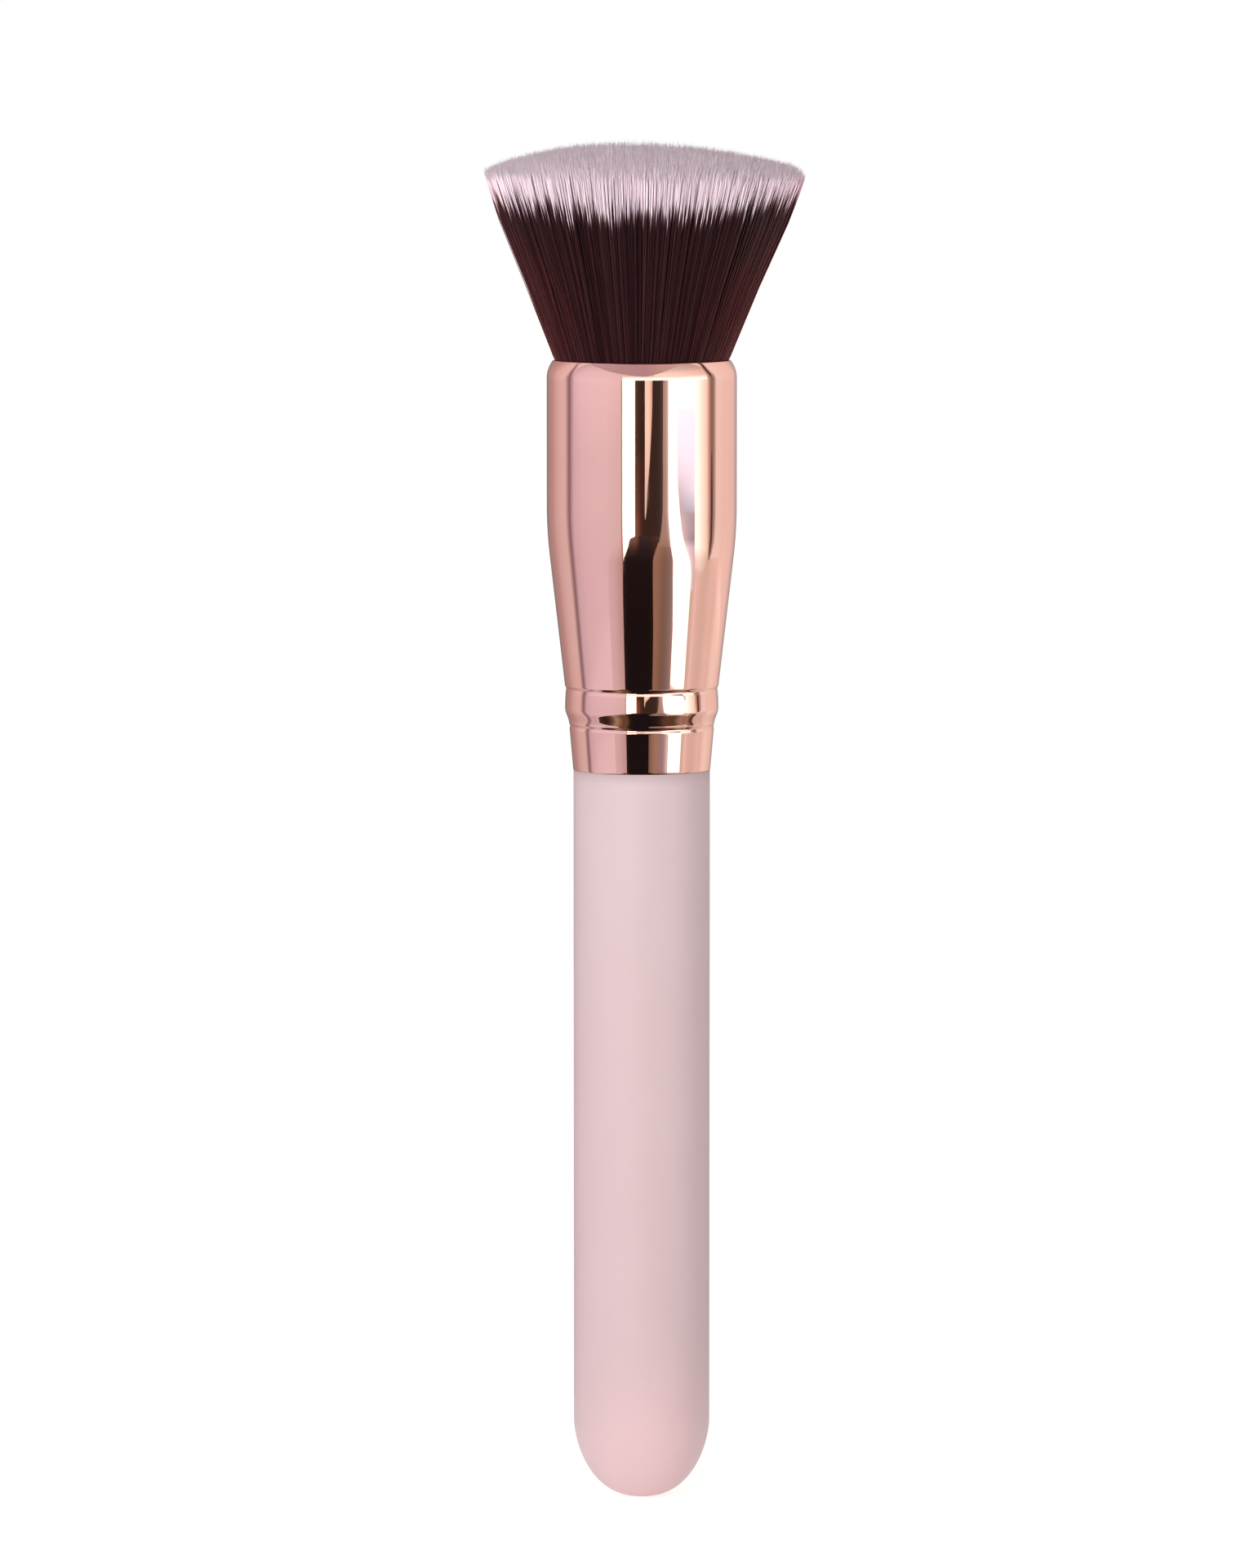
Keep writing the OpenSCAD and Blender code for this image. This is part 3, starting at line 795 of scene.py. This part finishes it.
def add_walls():
    """Pale walls that the ferrule's sides mirror, and the dark gaps in them."""
    add_card("left_wall", 0, [(FOOT_EL, -180, 0), (TOP_EL, -180, 0)], [
        (-180, "#7A6664"), (-150, "#B49D9C"), (-137, "#C4ACAC"), (-127, "#DCC6C9"), (-119, "#E3D6DC"),
        (-112, "#EBDEE4"), (-105, "#E9DFE6"), (0, "#F2E6E0"),
    ], [(-40, 0.8), (-20, 0.94), (-8, 0.98), (0, 1), (4, 1.12)], step=2)
    add_card("right_wall", 0, [(FOOT_EL, 0, 180), (TOP_EL, 0, 180)], [
        (0, "#F2E6E0"), (98, "#FCFBFF"), (108, "#FFFCFC"), (115, "#FCF2F2"), (123, "#FCF2EE"),
        (132, "#FAEAE6"), (143, "#F4E2DF"), (160, "#C0B0AC"), (180, "#7A6664"),
    ], [(-40, 0.8), (-20, 0.95), (-12, 1.06), (-6, 1), (0, 1), (4, 1.08)], step=2)
    add_card("pink_wall", 1, [(FOOT_EL, -95, -22), (60, -95, -22)], [
        (-95, "#D0C8D8"), (-87, "#E3DAEF"), (-77, "#EDE4F7"), (-62, "#F0E8FC"), (-45, "#F0EAFA"),
        (-26, "#E9E2EE"),
    ], [
        (-36, 0.86), (-24, 1.02), (-20, 1.06), (-18.2, 1.05), (-17, 0.96), (-8, 0.98), (-1, 1.02),
        (2, 1.18), (30, 1.1), (50, 0.98),
    ])
    add_card("pink_edge", 2, [
        (FOOT_EL, -44, -22), (-16.3, -44, -22), (-14.8, -40, -22), (-12, -31, -22), (-10, -25, -22),
    ], [
        (-44, "#E4DCEE"), (-36, "#DDD2DE"), (-30, "#CFC2CA"), (-24, "#C2B4BA"),
    ], [(-24, 1.05, 1.3), (-19, 1, 1.05), (-16.5, 1, 1.05), (-14.9, 1, 1.2), (-10, 1, 1.4)], lean=True)
    add_card("left_gap", 2, [
        (FOOT_EL, -106.1, -89), (8, -106.1, -89), (17, -103.5, -91.5), (28, -105.2, -93.5),
        (37, -109.5, -98), (42, -116.5, -105.5), (60, -134, -122),
    ], [
        (-106.1, "#EEE4EA"), (-102.7, "#D6CBD3"), (-99.6, "#AD9CA5"), (-97.4, "#96828D"),
        (-96.1, "#9A8894"), (-93.5, "#BEB2C4"), (-90.7, "#DAD2E8"), (-89, "#E0D7EC"),
    ], [(5, 1), (20, 1), (30, 1.2)], lean=True)
    add_card("right_gap", 3, [
        (-12.8, 90.6, 94.1), (-11.5, 89, 97), (-9, 87.5, 100), (-5, 85.4, 100.6), (5.5, 85.1, 100.6),
        (14, 85, 99.8), (25, 85.2, 97.5), (33, 87, 99), (40, 91, 103), (46, 97.8, 110), (60, 112, 124),
    ], [
        (90.6, "#FFFBF0"), (91.3, "#CFB9B2"), (91.9, "#A18A83"), (92.5, "#917F78"), (93.2, "#AFA49E"),
        (93.9, "#E4E0DE"), (94.1, "#FFFFFF"),
    ], step=0.25, lean=True)
    add_card("shoulder_gap", 4, [
        (13, 91.5, 93.2), (18.6, 90.6, 93.4), (26, 89.8, 93), (33, 91.3, 94.9), (39.8, 95, 99.2),
        (45.8, 101.6, 106.4), (50, 107, 112),
    ], [(90, "#4C362C"), (112, "#4C362C")], step=0.25)
    add_card("gap_core", 4, [
        (-12, 91.7, 92.7), (-10.3, 91.9, 94.3), (-8.7, 92, 94.9), (-5.5, 91.2, 94.2), (-2, 91.1, 94.1),
        (-0.8, 92, 93.2),
    ], [(90, "#5C443E"), (96, "#5C443E")], step=0.25)


def add_strips():
    """White strips of light that the ferrule's front mirrors, and the dark middle between them."""
    add_card("left_strip", 2, [(-20, -23, -5), (STRIP_EL, -23.2, -5)], [
        (-23, "#FFFFFF"), (-5, "#FFFFFF"),
    ], [(-18, 1.6), (-12, 2.4)])
    add_card("strip_edge", 3, [(-18, -24.4, -23.4), (STRIP_EL, -24.4, -23.4)], [
        (-24, "#A08878"), (-23, "#A08878"),
    ])
    add_card("dark_middle", 3, [
        (-11.5, -8.1, 21), (-9.6, -8.1, 22.2), (-8.3, -8.1, 23), (-6, -8.1, 24), (-2, -8.1, 25),
        (STRIP_EL, -8.1, 25.6),
    ], [
        (-8.1, "#66544A"), (-5.5, "#54463C"), (-4, "#4A3E32"), (-1, "#40332E"), (15, "#403430"),
        (18, "#403834"), (21, "#443D3B"), (24, "#584E4E"), (25.6, "#6A6060"),
    ])
    add_card("warm_edge", 3.5, [(-11.5, -8.1, 2.5), (-0.8, -8.1, 2.5)], [
        (-8.1, "#8A6E60"), (-6, "#7F6255"), (-4, "#76574C"), (-2, "#5D4038"), (0, "#4E3830"),
        (2.5, "#40332E"),
    ], [(-11.5, 1, 1), (-9.7, 1.05, 1), (-6, 1.15, 1), (-3.5, 0.9, 1), (-1.9, 0.65, 1), (-0.8, 0.42, 1)])
    add_card("slit", 4, [
        (-5.1, 3.7, 4.2), (-2.4, 3.6, 5.6), (-1.9, 3.6, 6.6), (-1, 3.6, 9.3), (0, 3.6, 11.2),
        (0.7, 3.6, 12.2), (STRIP_EL, 3.6, 12.8),
    ], [(3.6, "#FFFAF0"), (8, "#FFFAF0"), (12.8, "#D8C4AC")], [(-1.8, 0.95), (0, 1.2)], step=0.25)
    add_card("grey_edge", 2.5, [
        (-12.6, 14, 35.8), (-10.9, 12, 34.7), (-9.6, 10.5, 34), (-8.2, 10, 33.3), (-6, 9.5, 32.3),
        (-3, 9.4, 31.5), (STRIP_EL, 9.4, 31.4),
    ], [
        (14, "#A89A8C"), (24, "#AA9B8E"), (28, "#A89C8C"), (32, "#A49C9A"), (34, "#B2B0B6"),
        (35.8, "#C4C8D0"),
    ], [
        (-12.6, 1, 1), (-9.6, 1.05, 1.2), (-6, 1.05, 1.25), (-1.9, 1, 1.35), (0, 1.1, 1.5),
    ], lean=True)
    add_card("right_strip", 2, [(-20, 30, 67), (STRIP_EL, 30, 67)], [
        (30, "#FFFFFF"), (67, "#FFFFFF"),
    ], [(0, 2.3)])
    add_card("teardrop", 0, [
        (-19.5, 62, 64.9), (-17.3, 60.2, 64.4), (-16.4, 59, 64.2), (-14.6, 55.3, 63.9), (-12.2, 51.1, 63.1),
        (-9.7, 47.8, 62.4), (-7, 45.4, 61.9), (-3.2, 43.4, 61.4), (-1.6, 42.7, 61.4),
    ], [(62, "#CFD5E8"), (63.4, "#C1C9DD"), (64.9, "#BFC9DE")], [
        (-19.5, 1.9, 1.4), (-16.4, 2, 1.4), (-12.2, 2, 1.45), (-10.9, 1.6, 1.1), (-9.7, 1.35, 0.72),
        (-7, 1.4, 0.93), (-3.2, 1.4, 0.97), (-1.6, 1.22, 1.15),
    ], ring=NEAR_RING_R, lean=True)
    add_card("teardrop_top", 0, [
        (-1.6, 42.7, 61.4), (0, 42, 61.3), (2, 40.5, 61.3), (5, 39.5, 61.3), (12, 39, 61.3),
    ], [(42.7, "#D3DFF8"), (50, "#C8DEFA"), (61.4, "#C0DCFA")], [
        (-1.6, 1.1, 1.0), (0, 1.1, 1.5), (2, 1.35, 2.1), (4, 1.85, 2.2), (6, 2.2, 2.3), (12, 2.5, 2.5),
    ], ring=NEAR_RING_R, lean=True)
    add_card("cream_strip", 2, [
        (-15.2, 71.5, 96), (-13, 68.8, 93.5), (-9.5, 67.2, 90.8), (-5.6, 66.2, 89.4), (-2, 66, 89),
        (STRIP_EL, 66, 89),
    ], [
        (71.5, "#FAFEFF"), (76, "#F6FCFF"), (79.4, "#EAF2F4"), (83.3, "#DCE4E0"), (87.4, "#D0D4CC"),
        (91.6, "#C3C1B8"), (96, "#A79C9A"),
    ], [
        (-15.2, 0.95, 1.1), (-14.9, 1, 1.15), (-14.5, 1.1, 1.2), (-14.2, 1.25, 1.3), (-12.8, 1.7, 1.5),
        (-11.2, 2, 2),
    ], lean=True)


def add_low_cards():
    """Dark, brown and pale cards and a mat, which the ferrule's taper and foot mirror."""
    add_card("low_dark", 4, [
        (FOOT_EL, -24.9, 15.4), (-19, -24.9, 15.8), (-17.6, -24.8, 14.4), (-16.6, -23.6, 13.6),
        (-15, -20.5, 15.3), (-13.8, -18.4, 16.7), (-12.4, -16.2, 18.8), (-11, -15, 20.5),
        (-10.3, -13, 21.3), (-9.9, -8, 21.8),
    ], [
        (-24, "#2A2220"), (-19, "#1E1A1C"), (9, "#1E1A1C"), (13, "#241C1A"), (23, "#302622"),
    ], [
        (-18, 1), (-16.6, 1.25), (-15.1, 2), (-13.7, 2.1), (-12.4, 2.8), (-11, 3.4), (-10, 4),
    ])
    # Grey-brown card over the dark one: the lighter patch it puts on the taper is a painted reflection, not a
    # mark in the metal
    add_card("grey_reflection_patch", 4.5, [
        (-15.5, -20.9, -3.6), (-13.8, -18.2, -3.6), (-12.4, -16, -3.6), (-11, -14.8, -3.6),
        (-10.3, -12.8, -3.6), (-9.9, -7.8, -3.8),
    ], [(-20, "#7E6B64"), (-8, "#7E6B64"), (-6, "#745A50"), (-3.6, "#6A4E46")], [
        (-15.5, 0.12), (-13.7, 0.3), (-12.4, 0.55), (-11, 1), (-9.9, 1.05),
    ], step=0.25)
    add_card("low_brown", 3, [
        (FOOT_EL, 11, 43), (-18, 11, 43), (-16.6, 11, 40.3), (-14.9, 12, 38.2), (-12.5, 14, 35.8),
    ], [
        (11, "#A4907F"), (20, "#9E8879"), (24.5, "#937F6E"), (29, "#877A6E"), (34, "#8E8482"),
        (39, "#9C9496"), (43, "#B8B0B4"),
    ], [(-20, 0.92, 0.92), (-16, 1, 1), (-12.5, 1.15, 1.35)])
    add_card("tail_brown", 0, [(-42, 10.2, 39), (-34.5, 10.2, 39)], [
        (10.2, "#7A6C62"), (12.5, "#8C7C70"), (16, "#A08C7E"), (20, "#AB9788"), (27.5, "#A8979A"),
        (32, "#A8A0A8"), (35.2, "#C4C7D4"), (39, "#FFFFFF"),
    ], ring=NEAR_RING_R)
    add_card("low_right", 3, [
        (FOOT_EL, 65.3, 140), (-14.9, 66, 140), (-14, 83, 140), (-13.2, 89, 140), (-12.4, 95, 140),
        (-11.6, 104, 140), (-10.8, 113, 140),
    ], [
        (65, "#DCD6CC"), (70, "#E5E2DA"), (74, "#FEF2F0"), (79, "#EDE2DF"), (85, "#E8DDD8"),
        (91, "#E3DCD6"), (97, "#EDE3E0"), (104, "#F2E7E4"), (109, "#EEE1DC"), (114, "#F6EAE6"),
        (120, "#FFF9F4"), (129, "#FFF8F0"), (140, "#F4E0D6"),
    ], [(-35, 0.85), (-20, 1), (-14, 1.03), (-12.4, 1.03), (-12, 1.08), (-11.6, 1.14), (-10.8, 1.12)])
    mat_tints = [
        (-77, "#4A3C3A"), (-68, "#3A2A29"), (-62, "#362A25"), (-56, "#51413F"), (-50, "#786855"),
        (-44, "#AB9E8B"), (-38, "#8F7B64"), (-32, "#6B5743"), (-26, "#695C47"), (-20, "#2D1F18"),
        (-14, "#1F1B1F"), (15, "#1F1B1F"), (26, "#282321"), (32, "#3E302A"), (38, "#5D473B"),
        (44, "#614E3E"), (56, "#614A37"), (62, "#857268"), (69, "#A8988A"), (75, "#9D8371"),
        (81, "#A89384"), (88, "#5C433E"), (93, "#6C524A"),
    ]
    add_card("floor_mat", 5, [
        (-75, -77, 93), (-40, -77, 93), (-34, -62, 92), (-30, -52, 60), (-27, -43, 30), (-23, -34, 20),
        (-21.5, -30, 15),
    ], mat_tints)
    add_card("mat_corner", 5, [(-40, 76, 93), (-24, 78, 93), (-21.5, 81, 92)], mat_tints)


def add_high_cards():
    """Bright and pale cards that the ferrule's rounded shoulder mirrors."""
    add_card("bright_sill", 2, [(STRIP_EL, -23, 90), (20, -23, 90)], [
        (-23, "#FFFFFF"), (60, "#FFFFFF"), (90, "#FFE8E0"),
    ], [(STRIP_EL, 2.3), (12, 2.1), (17, 1.4), (20, 1.2)])
    add_card("right_shoulder", 1, [(18, 15, 93), (70, 15, 93)], [
        (15, "#F8FFFF"), (45, "#F8FAF8"), (60, "#F3EFED"), (88, "#E7DDD5"),
    ], [(20, 1.3), (31, 1.2), (38, 1), (45, 0.88), (62, 0.75)])
    add_card("ceiling", 4, [
        (19.5, 0, 6), (24, -14, 12), (31.6, -33, 22), (45.3, -63, 41), (50, -86, 50), (57.6, -110, 68),
        (70, -140, 120), (TOP_EL, -180, 180),
    ], [(-90, "#CFC4D2"), (-30, "#C6B6C2"), (5, "#C0B0BC"), (30, "#D2BEC4"), (70, "#D8C8C8")], step=1)


# Lamps: azimuth and elevation, distance, width and strength at the brush as a share of full light
LAMPS = (
    ("key", -25, 12, 900, 600, 0.43),
    ("fill", 50, 25, 1100, 700, 0.04),
    ("low_fill", -10, -4, 900, 300, 0.10),
    ("overhead", -30, 62, 900, 600, 0.015),
)
# Spots on the tuft, on its flanks and on the handle's two ends: azimuth and elevation, distance, height of
# their target, width of the beam in degrees, strength and colour
SPOTS = (
    ("tuft_front", -10, 3, 900, 162.5, 5.5, 0.63, "#FFFFFF"),
    ("tip_left", -85, 4, 900, 164, 2.2, 0.20, "#FFF8FC"),
    ("tip_right", 85, 2, 900, 163.5, 2.2, 0.44, "#FFF6F8"),
    ("flank_left", -88, 3, 900, 146.5, 1.6, 3.3, "#FF7444"),
    ("flank_right", 88, 3, 900, 146.5, 1.6, 3.9, "#FF7E52"),
    ("grip_top", -25, 4, 900, 90, 3.2, 0.04, "#40FFE8"),
    ("butt_warm", 5, 2, 900, 4, 1.9, 0.09, "#FF8478"),
)


def place_lamp(name, kind, azimuth, elevation, away, target_z):
    """Lamp at a place round the brush, turned to a height on its axis and out of its reflections."""
    a, e = math.radians(azimuth), math.radians(elevation)
    heading = Vector((math.cos(e) * math.sin(a), -math.cos(e) * math.cos(a), math.sin(e)))
    data = bpy.data.lights.new(name, kind)
    lamp = bpy.data.objects.new(name, data)
    lamp.location = (heading * away + Vector((0, 0, target_z))) * MM
    lamp.rotation_euler = (-heading).to_track_quat("-Z", "Y").to_euler()
    lamp.visible_glossy = False
    bpy.context.collection.objects.link(lamp)
    return data


# How soft the rim of a spot's beam is, and its source's radius in mm for each degree of its beam
SPOT_BLEND, SPOT_SOFT = 0.7, 3
# A spot's power is counted all round it and an area lamp's only ahead of it, so a spot takes more
SPOT_POWER = 4


def power(strength, away):
    """Power of an area lamp that lights the brush with a strength from a distance in mm."""
    return strength * (math.pi * away * MM) ** 2


def add_lamps():
    """Soft lamps on the whole brush, and spots on parts of it."""
    for name, azimuth, elevation, away, wide, strength in LAMPS:
        data = place_lamp(name, "AREA", azimuth, elevation, away, CARD_CENTRE_Z)
        data.shape = "SQUARE"
        data.size = wide * MM
        data.energy = power(strength, away)
    for name, azimuth, elevation, away, height, beam, strength, tint in SPOTS:
        data = place_lamp(name, "SPOT", azimuth, elevation, away, height)
        data.color = colour(tint)[:3]
        data.spot_size = math.radians(beam)
        data.spot_blend = SPOT_BLEND
        data.shadow_soft_size = SPOT_SOFT * beam * MM
        data.energy = SPOT_POWER * power(strength, away)


add_camera()
make_handle()
make_ferrule()
make_cord()
make_tuft_root()
make_tuft()
dress_inner_nodes()
add_world()
add_floor()
add_walls()
add_strips()
add_low_cards()
add_high_cards()
add_lamps()
bpy.context.scene.view_settings.view_transform = "Standard"
